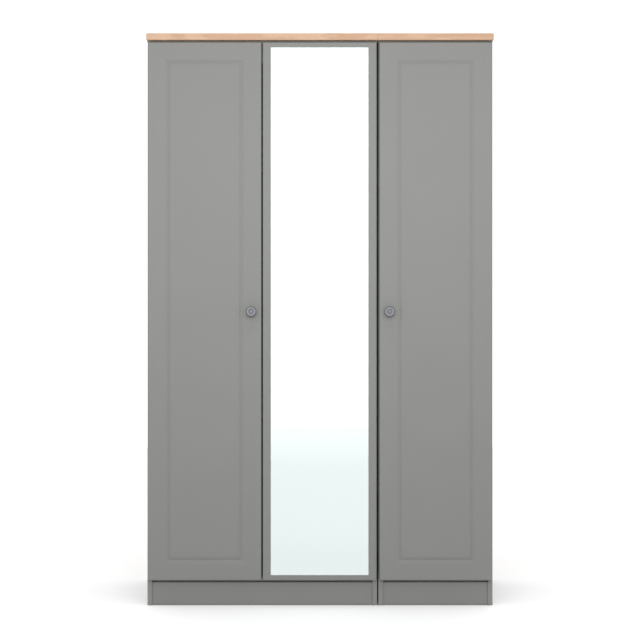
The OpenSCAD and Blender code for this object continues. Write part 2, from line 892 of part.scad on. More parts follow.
carcass_dowels();
cam_locks();
cam_bolts();
back_panel_screws();
connector_sleeves();
connector_bolts();
connector_spacers();
door_bumpers();
hinge_arms(left_door);  // left_hinge_arms
hinge_plates(left_door);  // left_hinge_plates
hinge_arms(mirror_door);  // mirror_hinge_arms
hinge_plates(mirror_door);  // mirror_hinge_plates
hinge_arms(right_door);  // right_hinge_arms
hinge_plates(right_door);  // right_hinge_plates
hinge_plate_screws();
hinge_arm_screws();
panelled_door(left_door);  // left_door_panel
hinge_cups(left_door);  // left_hinge_cups
hinge_pins(left_door);  // left_hinge_pins
cup_screws(left_door);  // left_cup_screws
knob(left_door);  // left_knob
knob_screw(left_door);  // left_knob_screw
mirror_door_panel();
mirror_glass();
mirror_tape();
hinge_cups(mirror_door);  // mirror_hinge_cups
hinge_pins(mirror_door);  // mirror_hinge_pins
cup_screws(mirror_door);  // mirror_cup_screws
panelled_door(right_door);  // right_door_panel
hinge_cups(right_door);  // right_hinge_cups
hinge_pins(right_door);  // right_hinge_pins
cup_screws(right_door);  // right_cup_screws
knob(right_door);  // right_knob
knob_screw(right_door);  // right_knob_screw
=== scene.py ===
"""The looks of a three-door wardrobe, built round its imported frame. Lengths are in metres."""

import json
import math

import bmesh
import bpy
from bpy.props import FloatProperty, FloatVectorProperty, PointerProperty
from mathutils import Matrix, Vector


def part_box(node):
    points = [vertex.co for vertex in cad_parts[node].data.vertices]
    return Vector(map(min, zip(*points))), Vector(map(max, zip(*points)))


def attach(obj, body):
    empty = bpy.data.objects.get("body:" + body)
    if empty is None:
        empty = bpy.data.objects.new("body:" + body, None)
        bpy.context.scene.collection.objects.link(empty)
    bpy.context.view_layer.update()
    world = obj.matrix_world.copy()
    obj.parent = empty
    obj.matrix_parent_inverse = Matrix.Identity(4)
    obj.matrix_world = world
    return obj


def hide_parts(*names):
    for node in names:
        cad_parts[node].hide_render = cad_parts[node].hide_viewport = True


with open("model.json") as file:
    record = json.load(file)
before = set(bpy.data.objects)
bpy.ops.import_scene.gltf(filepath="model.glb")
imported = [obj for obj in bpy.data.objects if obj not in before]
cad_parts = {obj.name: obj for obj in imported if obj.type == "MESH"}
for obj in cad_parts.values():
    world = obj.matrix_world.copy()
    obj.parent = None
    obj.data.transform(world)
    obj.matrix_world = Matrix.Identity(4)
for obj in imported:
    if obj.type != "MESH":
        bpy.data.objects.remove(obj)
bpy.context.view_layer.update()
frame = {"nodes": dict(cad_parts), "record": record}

bl_info = {
    "name": "Wardrobe",
    "version": (1, 0, 0),
    "blender": (4, 5, 0),
    "location": "View3D > Sidebar > Wardrobe",
    "description": "Builds the doors, boards, fittings and finishes of a three-door wardrobe",
    "category": "Object",
}

MM = 0.001
UNITS = ("double", "single")
BOARDS = ("left_side", "right_side", "floor_panel", "front_rail", "rear_rail", "hat_shelf")
# Lengths below which points, or a point and a plane, count as one
WELD = 0.002 * MM
TOUCH = 0.01 * MM
# How nearly a face has to look along an axis to count as square to it
SQUARE = 0.99999
# A door's outline has this corner radius, which gets sharper further in, down to the second
DOOR_CORNER = 2.5 * MM
SHARPEST_CORNER = 0.4 * MM
# Flat borders inside a door's rounded edge, and on each side of its moulding
FLAT_BORDER = 1 * MM
MOULDING_BORDER = 0.6 * MM
# Strength of the backdrop, and of the room as matt surfaces see it
BACKDROP_LIGHT = 1.36
ROOM_LIGHT = 1.07
# The floor's reach to each side, behind and in front, in metres
FLOOR_REACH = (9, 6, 8.6)
CAMERA_LENS = 88.17
CAMERA_SENSOR = 36
CAMERA_PLACE = (0, -5.253, 0.9146)
# name: (place, aim, (width, height), watts, cone in degrees)
SOFTBOXES = {
    "high_strip_softbox": ((0, -2.0, 1.70), (0, -0.25, 1.5), (2.4, 0.3), 2.7, 120),
    "front_strip_softbox": ((0, -2.6, 1.45), (0, -0.25, 1.4), (2.4, 0.3), 9.5, 90),
    "floor_softbox": ((0, -8.8, 5.0), (0, -8.8, 0), (8, 3), 79, 150),
    "overhead_softbox": ((0, -2.4, 5.5), (0, -0.4, 0.4), (3, 1), 10, 100),
}
# body: what its nodes' names start with
HINGED = {"left_door": "left", "mirror_door": "mirror", "right_door": "right"}


def hex_rgb(code):
    """The linear colour of an sRGB hex code such as #9a9b99."""
    parts = [int(code[i:i + 2], 16) / 255 for i in (1, 3, 5)]
    return tuple(c / 12.92 if c <= 0.04045 else ((c + 0.055) / 1.055) ** 2.4 for c in parts)


def length(name, description, millimetres):
    return FloatProperty(
        name=name, description=description, default=millimetres * MM, min=0, unit="LENGTH"
    )


def colour(name, description, code):
    return FloatVectorProperty(
        name=name, description=description, default=hex_rgb(code), min=0, max=1,
        size=3, subtype="COLOR",
    )


class WardrobeSizes(bpy.types.PropertyGroup):
    """Sizes that the frame leaves open."""

    door_round: length("Door edge", "Radius of the doors' rounded edges", 4)
    mould_inset: length("Moulding inset", "From a door's edge to its moulding", 50)
    mould_width: length("Moulding width", "Width of the routed moulding", 30)
    mould_depth: length("Moulding depth", "Depth of the routed moulding", 4)
    oak_round: length("Top panel edge", "Radius of the top panels' edges", 1.5)
    board_round: length("Board edge", "Radius of the carcass boards' edges", 0.6)
    glass_arris: length("Glass arris", "Width of the polished arris round the mirror", 1.2)
    glass_side: length("Glass side border", "From the mirror door's sides to the glass", 25.5)
    glass_end: length("Glass end border", "From the mirror door's ends to the glass", 17)
    rebate: length("Rebate", "Depth of the rebate behind the glass", 1.5)
    rebate_gap: length("Rebate gap", "Clearance round the glass", 0.4)
    cup_depth: length("Cup bore", "Depth of the hinge cup bores", 14)
    recess_width: length("Screw recess", "Width of a slot in the screws' cross recess", 0.9)


class WardrobeColours(bpy.types.PropertyGroup):
    """Colours of the finishes."""

    door_grey: colour("Door grey", "Foil on the doors and plinths", "#70716f")
    board_grey: colour("Board grey", "Melamine on the carcass boards", "#747573")
    oak_light: colour("Oak light", "Pale wood of the oak foil", "#b4977f")
    oak_dark: colour("Oak dark", "Growth lines of the oak foil", "#9d7a5f")
    oak_pore: colour("Oak pores", "Pores of the oak foil", "#84624a")
    hardboard_face: colour("Hardboard face", "Lacquered face of the backs", "#a9a9a5")
    hardboard_rear: colour("Hardboard rear", "Bare fibre side of the backs", "#7c614b")
    silver: colour("Silvering", "Tint of the mirror", "#e0e9e8")
    glass_edge: colour("Glass edge", "Polished edge of the float glass", "#c2c6c4")
    pewter: colour("Pewter", "Polished plating of the knobs", "#8d8f95")
    # Patina in the knobs' grooves, and painted shade on their outer edges and backs
    patina_and_shade: colour("Patina", "Dark pewter in the knobs' grooves", "#3e3f42")
    zinc: colour("Zinc", "Plating of hinges and screws", "#c6c8cb")
    chrome: colour("Chrome", "Plating of the hanging rails", "#dcdde0")
    plastic: colour("Plastic", "Sockets, bumpers and tape", "#dcdbd4")
    nylon: colour("Nylon", "Spacers between the two units", "#1d1d1e")
    beech: colour("Beech", "Wooden dowels", "#d2ad7c")
    floor: colour("Floor", "Studio floor", "#fafafa")


# ---------------------------------------------------------------- nodes and materials

# Sockets of a Mix node for colours, which share their names with those for numbers
MIX_FIRST, MIX_SECOND, MIX_RESULT = 6, 7, 2
# Most of a noise lies between these, so that stretch is spread over the whole range
NOISE_LOW, NOISE_HIGH = 0.3, 0.7
# Spacing of a wave texture's bands at a scale of 1
WAVE_SPACING = math.pi / 10


def add(tree, kind, inputs=None, **settings):
    """Adds a node with its settings, and sets or links its inputs."""
    new = tree.nodes.new(kind)
    for name, value in settings.items():
        setattr(new, name, value)
    for key, value in (inputs or {}).items():
        if isinstance(value, bpy.types.NodeSocket):
            tree.links.new(value, new.inputs[key])
        else:
            new.inputs[key].default_value = value
    return new


def rgba(rgb):
    return (*rgb, 1.0)


def shade(rgb, factor):
    """A colour made lighter or darker, with full alpha."""
    return rgba([min(1.0, c * factor) for c in rgb])


def new_material(name):
    """The tree of an empty node material, and the object coordinates in metres."""
    material = bpy.data.materials.new(name)
    material.use_nodes = True
    tree = material.node_tree
    tree.nodes.clear()
    place = add(tree, "ShaderNodeTexCoord").outputs["Object"]
    return tree, place


def clouded(name, tint, blotch, tones, polish, relief=None, stretch=(1, 1, 1), **shader):
    """A finish whose tone and polish drift over blotches, on a fine relief. Tones are shares of
    the tint, polish is the roughness, each from low to high, and relief is (grain, height)."""
    tree, place = new_material(name)
    drawn = add(tree, "ShaderNodeMapping", {"Vector": place, "Scale": stretch})
    cloud = add(tree, "ShaderNodeTexNoise", {
        "Vector": drawn.outputs[0], "Scale": 1 / blotch, "Detail": 3, "Roughness": 0.55,
    }).outputs["Fac"]
    share = add(tree, "ShaderNodeMapRange", {
        "Value": cloud, "From Min": NOISE_LOW, "From Max": NOISE_HIGH,
    }).outputs[0]
    shader["Base Color"] = add(tree, "ShaderNodeMix", {
        "Factor": share, MIX_FIRST: shade(tint, tones[0]), MIX_SECOND: shade(tint, tones[1]),
    }, data_type="RGBA").outputs[MIX_RESULT]
    shader["Roughness"] = add(tree, "ShaderNodeMapRange", {
        "Value": share, "To Min": polish[0], "To Max": polish[1],
    }).outputs[0]
    if relief:
        grain, height = relief
        skin = add(tree, "ShaderNodeTexNoise", {
            "Vector": drawn.outputs[0], "Scale": 1 / grain, "Detail": 2,
        }).outputs["Fac"]
        shader["Normal"] = add(tree, "ShaderNodeBump", {
            "Height": skin, "Distance": height, "Strength": 0.6,
        }).outputs[0]
    surface = add(tree, "ShaderNodeBsdfPrincipled", shader).outputs[0]
    add(tree, "ShaderNodeOutputMaterial", {"Surface": surface})


def door_foil(colours):
    """Vinyl foil pressed over routed fibreboard: satin, with a faint orange peel."""
    # The peel is really about 1 mm across, and is drawn at 4 mm to show
    clouded("satin_vinyl_foil", colours.door_grey, 0.2, (0.985, 1.015), (0.40, 0.47),
            relief=(4 * MM, 0.06 * MM), IOR=1.5)


def board_melamine(colours):
    """Melamine paper on chipboard: matt, with a pearl texture that breaks up the sheen."""
    # The pearl is really about 0.6 mm across, and is drawn at 2.5 mm to show
    clouded("matt_melamine", colours.board_grey, 3 * MM, (0.97, 1.03), (0.50, 0.60),
            relief=(2.5 * MM, 0.09 * MM), IOR=1.5)


def oak_foil(colours):
    """Printed oak foil: growth lines and fibres run along the panel, and pores are embossed."""
    tree, place = new_material("oak_grain_foil")
    # Growth lines: pale and dark bands, each about 9 mm wide, bent and drawn out along the panel
    drawn = add(tree, "ShaderNodeMapping", {"Vector": place, "Scale": (0.16, 1, 1)})
    rings = add(tree, "ShaderNodeTexWave", {
        "Vector": drawn.outputs[0], "Scale": WAVE_SPACING / (18.48 * MM), "Distortion": 9,
        "Detail": 3,
        "Detail Scale": 1.6, "Detail Roughness": 0.6,
    }, bands_direction="Y").outputs["Fac"]
    share = add(tree, "ShaderNodeMapRange", {
        "Value": rings, "From Min": 0.3, "From Max": 0.7, "To Max": 0.55,
    }).outputs[0]
    wood = add(tree, "ShaderNodeMix", {
        "Factor": share, MIX_FIRST: rgba(colours.oak_light), MIX_SECOND: rgba(colours.oak_dark),
    }, data_type="RGBA").outputs[MIX_RESULT]
    # (width, share of its length, where it starts and is full, strongest, colour)
    layers = (
        # Pale streaks
        (5 * MM, 0.02, 0.4, 0.75, 0.5, shade(colours.oak_light, 1.08)),
        # Fibres, about 60 mm long
        (1.6 * MM, 0.027, 0.3, 0.7, 0.35, rgba(colours.oak_dark)),
        # Pores: short dark dashes, 12 mm long
        (0.7 * MM, 0.058, 0.60, 0.72, 0.5, rgba(colours.oak_pore)),
    )
    for width, slimness, start, full, strongest, tint in layers:
        drawn = add(tree, "ShaderNodeMapping", {"Vector": place, "Scale": (slimness, 1, 1)})
        pattern = add(tree, "ShaderNodeTexNoise", {
            "Vector": drawn.outputs[0], "Scale": 1 / width, "Detail": 3, "Roughness": 0.55,
        }).outputs["Fac"]
        share = add(tree, "ShaderNodeMapRange", {
            "Value": pattern, "From Min": start, "From Max": full, "To Max": strongest,
        }).outputs[0]
        wood = add(tree, "ShaderNodeMix", {
            "Factor": share, MIX_FIRST: wood, MIX_SECOND: tint,
        }, data_type="RGBA").outputs[MIX_RESULT]
    # The last layer is the pores, which are pressed in and a little duller
    surface = add(tree, "ShaderNodeBsdfPrincipled", {
        "Base Color": wood,
        "Roughness": add(tree, "ShaderNodeMapRange", {
            "Value": share, "From Max": strongest, "To Min": 0.47, "To Max": 0.58,
        }).outputs[0],
        "Normal": add(tree, "ShaderNodeBump", {
            "Height": share, "Distance": -0.16 * MM, "Strength": 0.8,
        }).outputs[0],
        "IOR": 1.5,
    }).outputs[0]
    add(tree, "ShaderNodeOutputMaterial", {"Surface": surface})


def hardboard(colours):
    """Wet-process hardboard: a lacquered face inside, a bare brown screen-marked side outside."""
    tree, place = new_material("lacquered_hardboard")
    fibre = add(tree, "ShaderNodeTexNoise", {
        "Vector": place, "Scale": 1 / (6 * MM), "Detail": 6, "Roughness": 0.55,
    }).outputs["Fac"]
    turned_to = add(tree, "ShaderNodeNewGeometry").outputs["Normal"]
    rearward = add(tree, "ShaderNodeSeparateXYZ", {0: turned_to}).outputs["Y"]
    is_rear = add(tree, "ShaderNodeMapRange", {
        "Value": rearward, "From Min": 0.4, "From Max": 0.5,
    }).outputs[0]
    sides = [
        add(tree, "ShaderNodeMix", {
            "Factor": fibre, MIX_FIRST: shade(tint, 1 - drift), MIX_SECOND: shade(tint, 1 + drift),
        }, data_type="RGBA").outputs[MIX_RESULT]
        for tint, drift in ((colours.hardboard_face, 0.04), (colours.hardboard_rear, 0.4))
    ]
    # Screen marks of the press: really 1.5 mm apart, drawn 3 mm apart to show
    marks = [
        add(tree, "ShaderNodeTexWave", {"Vector": place, "Scale": WAVE_SPACING / (3 * MM)},
            bands_direction=axis).outputs["Fac"]
        for axis in ("X", "Z")
    ]
    screen = add(tree, "ShaderNodeMath", {0: marks[0], 1: marks[1]}, operation="ADD").outputs[0]
    screen = add(tree, "ShaderNodeMath", {0: screen, 1: is_rear}, operation="MULTIPLY").outputs[0]
    surface = add(tree, "ShaderNodeBsdfPrincipled", {
        "Base Color": add(tree, "ShaderNodeMix", {
            "Factor": is_rear, MIX_FIRST: sides[0], MIX_SECOND: sides[1],
        }, data_type="RGBA").outputs[MIX_RESULT],
        "Roughness": add(tree, "ShaderNodeMapRange", {
            "Value": is_rear, "To Min": 0.5, "To Max": 0.85,
        }).outputs[0],
        "Normal": add(tree, "ShaderNodeBump", {
            "Height": screen, "Distance": 0.15 * MM, "Strength": 0.6,
        }).outputs[0],
        "IOR": 1.5,
    }).outputs[0]
    add(tree, "ShaderNodeOutputMaterial", {"Surface": surface})


def antique_pewter(colours):
    """Pewter plate with a dark patina that was polished off what a hand touches, and painted shade
    in that dark colour on each knob's outer edge and back.
    """
    tree, place = new_material("antique_pewter")
    # How dark each point of a knob is: patina, and painted shade on its outer edge and back
    patina_and_shade_share = add(tree, "ShaderNodeAttribute", attribute_name="patina_and_shade").outputs["Fac"]
    cloud = add(tree, "ShaderNodeTexNoise", {
        "Vector": place, "Scale": 1 / (5 * MM), "Detail": 4,
    }).outputs["Fac"]
    drift = add(tree, "ShaderNodeMapRange", {
        "Value": cloud, "From Min": NOISE_LOW, "From Max": NOISE_HIGH,
        "To Min": -0.12, "To Max": 0.12,
    }).outputs[0]
    patina_and_shade_share = add(
        tree, "ShaderNodeMath", {0: patina_and_shade_share, 1: drift}, operation="ADD", use_clamp=True
    ).outputs[0]
    surface = add(tree, "ShaderNodeBsdfPrincipled", {
        "Base Color": add(tree, "ShaderNodeMix", {
            "Factor": patina_and_shade_share,
            MIX_FIRST: rgba(colours.pewter), MIX_SECOND: rgba(colours.patina_and_shade),
        }, data_type="RGBA").outputs[MIX_RESULT],
        "Metallic": 1.0,
        "Roughness": add(tree, "ShaderNodeMapRange", {
            "Value": patina_and_shade_share, "To Min": 0.28, "To Max": 0.5,
        }).outputs[0],
        "Normal": add(tree, "ShaderNodeBump", {
            "Height": cloud, "Distance": 0.02 * MM, "Strength": 0.5,
        }).outputs[0],
    }).outputs[0]
    add(tree, "ShaderNodeOutputMaterial", {"Surface": surface})


def zinc_plate(colours):
    """Zinc and nickel plate on pressed steel: bright, but never a clear mirror."""
    clouded("bright_zinc_plate", colours.zinc, 12 * MM, (0.94, 1.04), (0.24, 0.33),
            relief=(1.5 * MM, 0.01 * MM), Metallic=1.0)


def cast_zinc(colours):
    """Die-cast zinc: duller than plate, and a little grainy."""
    clouded("cast_zinc", colours.zinc, 12 * MM, (0.70, 0.78), (0.42, 0.51),
            relief=(1.5 * MM, 0.05 * MM), Metallic=1.0)


def chromed_tube(colours):
    """Chromed tube: clear reflections, drawn out along the rail."""
    clouded("chromed_tube", colours.chrome, 12 * MM, (0.96, 1.02), (0.06, 0.11),
            relief=(1.5 * MM, 0.01 * MM), stretch=(0.1, 1, 1), Metallic=1.0)


def mirror_silver(colours):
    """Silvered float glass: a sharp, slightly green reflection with barely any haze."""
    clouded("silvered_float_glass", colours.silver, 0.3, (0.995, 1.005), (0.0, 0.012),
            Metallic=1.0)


def glass_rim(colours):
    """Polished edge of the same glass: a little green, and glossy."""
    clouded("polished_glass_edge", colours.glass_edge, 0.02, (0.8, 1.2), (0.10, 0.14), IOR=1.52)


def moulded_plastic(colours):
    """Injection-moulded plastic: soft sheen on a fine spark-eroded skin."""
    clouded("moulded_polypropylene", colours.plastic, 10 * MM, (0.97, 1.0), (0.40, 0.45),
            relief=(0.8 * MM, 0.02 * MM), IOR=1.49)


def dyed_nylon(colours):
    """Black nylon: dull, so that it stays unseen in the gap between the two units."""
    clouded("black_nylon", colours.nylon, 10 * MM, (0.9, 1.1), (0.50, 0.60),
            relief=(0.8 * MM, 0.02 * MM), IOR=1.53)


def beech_wood(colours):
    """Turned beech: plain pale wood with short rays, drawn out from side to side."""
    clouded("turned_beech", colours.beech, 0.8 * MM, (0.85, 1.08), (0.60, 0.70),
            relief=(0.8 * MM, 0.05 * MM), stretch=(0.15, 1, 1), IOR=1.5)


def studio_floor(colours):
    """Painted studio floor: plain, pale and matt."""
    clouded("painted_studio_floor", colours.floor, 1.5, (0.995, 1.0), (0.78, 0.82))


FINISHES = {
    "satin_vinyl_foil": door_foil,
    "matt_melamine": board_melamine,
    "oak_grain_foil": oak_foil,
    "lacquered_hardboard": hardboard,
    "antique_pewter": antique_pewter,
    "bright_zinc_plate": zinc_plate,
    "cast_zinc": cast_zinc,
    "chromed_tube": chromed_tube,
    "silvered_float_glass": mirror_silver,
    "polished_glass_edge": glass_rim,
    "moulded_polypropylene": moulded_plastic,
    "black_nylon": dyed_nylon,
    "turned_beech": beech_wood,
    "painted_studio_floor": studio_floor,
}


def finish(name):
    """The named finish, made the first time that it is asked for."""
    if name not in bpy.data.materials:
        FINISHES[name](bpy.context.scene.wardrobe_colours)
    return bpy.data.materials[name]


def dress(material_name, *nodes):
    """Gives CAD nodes that keep their shape a finish."""
    for node in nodes:
        mesh = frame["nodes"][node].data
        mesh.materials.clear()
        mesh.materials.append(finish(material_name))


# ---------------------------------------------------------------- mesh helpers


def piece(name, mesh, body, replaced, *material_names):
    """Makes an object of a mesh in the frame's place, and hands it to its body."""
    made = bpy.data.objects.new(name, mesh)
    bpy.context.scene.collection.objects.link(made)
    for material_name in material_names:
        mesh.materials.append(finish(material_name))
    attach(made, body)
    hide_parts(*replaced)
    return made


def to_mesh(bm, name, sharp_degrees=30):
    """Turns a closed bmesh into a mesh with outward normals. Faces square to the axes stay flat
    right up to their rounded edges, and the rest is smooth but for its sharp edges."""
    bmesh.ops.recalc_face_normals(bm, faces=bm.faces)
    square = {face for face in bm.faces if max(abs(c) for c in face.normal) > SQUARE}
    for face in bm.faces:
        face.smooth = True
    for edge in bm.edges:
        one, other = edge.link_faces
        edge.smooth = (
            (one in square) == (other in square)
            and edge.calc_face_angle() < math.radians(sharp_degrees)
        )
    mesh = bpy.data.meshes.new(name)
    bm.to_mesh(mesh)
    bm.free()
    return mesh


def welded(node):
    """A bmesh of a CAD node with its loose triangles joined."""
    bm = bmesh.new()
    bm.from_mesh(frame["nodes"][node].data)
    bmesh.ops.remove_doubles(bm, verts=bm.verts, dist=WELD)
    return bm


def solids(node):
    """The vertices of each separate solid of a CAD node, as lists of points."""
    bm = welded(node)
    found, seen = [], set()
    for start in bm.verts:
        if start in seen:
            continue
        seen.add(start)
        island, queue = [], [start]
        while queue:
            vert = queue.pop()
            island.append(vert.co.copy())
            for edge in vert.link_edges:
                other = edge.other_vert(vert)
                if other not in seen:
                    seen.add(other)
                    queue.append(other)
        found.append(island)
    bm.free()
    return found


def extent(points):
    """Lowest and highest corner of some points."""
    low = Vector([min(p[i] for p in points) for i in range(3)])
    high = Vector([max(p[i] for p in points) for i in range(3)])
    return low, high


def rectangle(low, high, inset, radius, steps=4):
    """Points round a rectangle in X and Z, drawn in by inset, with round corners."""
    x0, z0, x1, z1 = low[0] + inset[0], low[1] + inset[1], high[0] - inset[0], high[1] - inset[1]
    centres = ((x1, z1, 0), (x0, z1, 90), (x0, z0, 180), (x1, z0, 270))
    points = []
    for x, z, turn in centres:
        inward = Vector((-math.cos(math.radians(turn + 45)), -math.sin(math.radians(turn + 45))))
        centre = Vector((x, z)) + Vector(
            (math.copysign(radius, inward.x), math.copysign(radius, inward.y))
        )
        for i in range(steps + 1):
            angle = math.radians(turn + 90 * i / steps)
            points.append(centre + radius * Vector((math.cos(angle), math.sin(angle))))
    return points


def bridge(bm, first, second):
    """Quads between two closed loops of the same number of vertices."""
    for i in range(len(first)):
        j = (i + 1) % len(first)
        bm.faces.new((first[i], first[j], second[j], second[i]))


def loop_edges(bm, verts):
    return [
        bm.edges.get((a, b)) or bm.edges.new((a, b))
        for a, b in zip(verts, verts[1:] + verts[:1])
    ]


def slab(bm, low, high, rings, bores=(), back_y=0.0, bore_depth=0.0, steps=48):
    """A panel whose outline is a rectangle: each ring is (side inset, end inset, y, corner
    radius), from its back to its front. Bores are (x, z, radius), sunk into its back."""
    loops = []
    for side, end, y, radius in rings:
        outline = rectangle(low, high, (side, end), radius)
        loops.append([bm.verts.new((p.x, y, p.y)) for p in outline])
    for first, second in zip(loops, loops[1:]):
        bridge(bm, first, second)
    bm.faces.new(loops[-1])
    rims = loop_edges(bm, loops[0])
    for x, z, radius in bores:
        round_points = [
            (x + radius * math.cos(2 * math.pi * i / steps),
             z + radius * math.sin(2 * math.pi * i / steps)) for i in range(steps)
        ]
        mouth = [bm.verts.new((px, back_y, pz)) for px, pz in round_points]
        bottom = [bm.verts.new((px, back_y - bore_depth, pz)) for px, pz in round_points]
        rims += loop_edges(bm, mouth)
        bridge(bm, mouth, bottom)
        bm.faces.new(bottom)
    bmesh.ops.triangle_fill(bm, edges=rims, use_beauty=True, use_dissolve=False)


def edge_rings(back_y, front_y, radius, steps=5):
    """Rings that round the back and front edges of a door, from its back to its front."""
    rings = []
    for i in range(steps + 1):
        angle = math.radians(90 * i / steps)
        inset = radius * (1 - math.sin(angle))
        rings.append((inset, inset, back_y - radius * (1 - math.cos(angle)), corner(inset)))
    for i in range(steps + 1):
        angle = math.radians(90 * i / steps)
        inset = radius * (1 - math.cos(angle))
        rings.append((inset, inset, front_y + radius * (1 - math.sin(angle)), corner(inset)))
    return rings


def corner(inset):
    """Corner radius of a door's outline at an inset."""
    return max(SHARPEST_CORNER, DOOR_CORNER - 0.5 * inset)


def smooth_profile(points, steps=4):
    """More points on a smooth curve through (radius, height) points."""
    found = []
    count = len(points)
    for i in range(count - 1):
        p = [Vector(points[max(0, min(count - 1, k))]) for k in (i - 1, i, i + 1, i + 2)]
        for s in range(steps):
            t = s / steps
            found.append(0.5 * (
                2 * p[1] + (p[2] - p[0]) * t
                + (2 * p[0] - 5 * p[1] + 4 * p[2] - p[3]) * t ** 2
                + (3 * p[1] - p[0] - 3 * p[2] + p[3]) * t ** 3
            ))
    found.append(Vector(points[-1]))
    return found


def turned(bm, axis_point, profile, steps=64):
    """A solid of revolution about -Y: profile is (radius, height) from its base to its tip."""
    loops = []
    for radius, height in profile:
        if radius < TOUCH:
            loops.append([bm.verts.new(axis_point + Vector((0, -height, 0)))])
            continue
        loops.append([
            bm.verts.new(axis_point + Vector((
                radius * math.cos(2 * math.pi * i / steps),
                -height,
                radius * math.sin(2 * math.pi * i / steps),
            ))) for i in range(steps)
        ])
    for first, second in zip(loops, loops[1:]):
        if len(first) == 1 or len(second) == 1:
            pole, ring = (first[0], second) if len(first) == 1 else (second[0], first)
            for i in range(steps):
                bm.faces.new((pole, ring[i], ring[(i + 1) % steps]))
        else:
            bridge(bm, first, second)


# ---------------------------------------------------------------- geometry node trees

# Sockets of a Random Value node for one number, which share their names with its other kinds
RANDOM_MIN, RANDOM_MAX, RANDOM_VALUE = 2, 3, 1
# Length of a recess's slots over the shank's radius, and where the middle of the block that cuts
# one lies, as a share of the head's height: the block is as high as the head
SLOT_TO_SHANK = 2.4
RECESS_MIDDLE = 0.95


def sized_tree(name, sizes):
    """A geometry node tree with a geometry input and output and named size inputs."""
    tree = bpy.data.node_groups.new(name, "GeometryNodeTree")
    tree.interface.new_socket("Geometry", in_out="INPUT", socket_type="NodeSocketGeometry")
    for size in sizes:
        tree.interface.new_socket(size, in_out="INPUT", socket_type="NodeSocketFloat")
    tree.interface.new_socket("Finish", in_out="INPUT", socket_type="NodeSocketMaterial")
    tree.interface.new_socket("Geometry", in_out="OUTPUT", socket_type="NodeSocketGeometry")
    return tree, add(tree, "NodeGroupInput"), add(tree, "NodeGroupOutput")


def screw_tree():
    """Screws on points: a tapered head with a cross recess, and a shank below it. Each point's
    turn attribute is the rotation that takes +Z to the way its head faces."""
    tree, given, result = sized_tree(
        "screws_on_points",
        ("Head Base", "Head Tip", "Head Height", "Shank", "Length", "Recess"),
    )
    sizes = given.outputs
    head = add(tree, "GeometryNodeMeshCone", {
        "Vertices": 24, "Radius Bottom": sizes["Head Base"], "Radius Top": sizes["Head Tip"],
        "Depth": sizes["Head Height"],
    }, fill_type="NGON").outputs["Mesh"]
    slot_length = add(
        tree, "ShaderNodeMath", {0: sizes["Shank"], 1: SLOT_TO_SHANK}, operation="MULTIPLY"
    ).outputs[0]
    lift = add(tree, "ShaderNodeMath", {
        0: sizes["Head Height"], 1: RECESS_MIDDLE,
    }, operation="MULTIPLY").outputs[0]
    up = add(tree, "ShaderNodeCombineXYZ", {"Z": lift}).outputs[0]
    tools = []
    for x, y in ((slot_length, sizes["Recess"]), (sizes["Recess"], slot_length)):
        block_size = add(tree, "ShaderNodeCombineXYZ", {
            "X": x, "Y": y, "Z": sizes["Head Height"],
        }).outputs[0]
        block = add(tree, "GeometryNodeMeshCube", {"Size": block_size}).outputs["Mesh"]
        tools.append(add(tree, "GeometryNodeTransform", {
            "Geometry": block, "Translation": up,
        }).outputs[0])
    recessed = add(tree, "GeometryNodeMeshBoolean", {"Mesh 1": head}, operation="DIFFERENCE")
    for tool in tools:
        tree.links.new(tool, recessed.inputs["Mesh 2"])
    shank = add(tree, "GeometryNodeMeshCylinder", {
        "Vertices": 16, "Radius": sizes["Shank"], "Depth": sizes["Length"],
    }).outputs["Mesh"]
    half = add(
        tree, "ShaderNodeMath", {0: sizes["Length"], 1: -0.5}, operation="MULTIPLY"
    ).outputs[0]
    down = add(tree, "ShaderNodeCombineXYZ", {"Z": half}).outputs[0]
    shank_placed = add(tree, "GeometryNodeTransform", {
        "Geometry": shank, "Translation": down,
    }).outputs[0]
    screw = add(tree, "GeometryNodeJoinGeometry")
    for part in (recessed.outputs[0], shank_placed):
        tree.links.new(part, screw.inputs[0])
    facing = add(tree, "GeometryNodeInputNamedAttribute", {"Name": "turn"},
                 data_type="FLOAT_VECTOR").outputs["Attribute"]
    # Each screw stopped at its own angle when it was driven in
    spin = add(tree, "FunctionNodeRandomValue", {
        RANDOM_MIN: 0, RANDOM_MAX: math.pi / 2, "Seed": 7,
    }, data_type="FLOAT").outputs[RANDOM_VALUE]
    spin_vector = add(tree, "ShaderNodeCombineXYZ", {"Z": spin}).outputs[0]
    rotation = add(tree, "FunctionNodeRotateEuler", {
        "Rotation": facing, "Rotate By": spin_vector,
    }, rotation_type="EULER", space="LOCAL").outputs[0]
    placed = add(tree, "GeometryNodeInstanceOnPoints", {
        "Points": sizes["Geometry"], "Instance": screw.outputs[0], "Rotation": rotation,
    }).outputs[0]
    real = add(tree, "GeometryNodeRealizeInstances", {"Geometry": placed}).outputs[0]
    dressed = add(tree, "GeometryNodeSetMaterial", {
        "Geometry": real, "Material": sizes["Finish"],
    }).outputs[0]
    tree.links.new(dressed, result.inputs["Geometry"])
    return tree


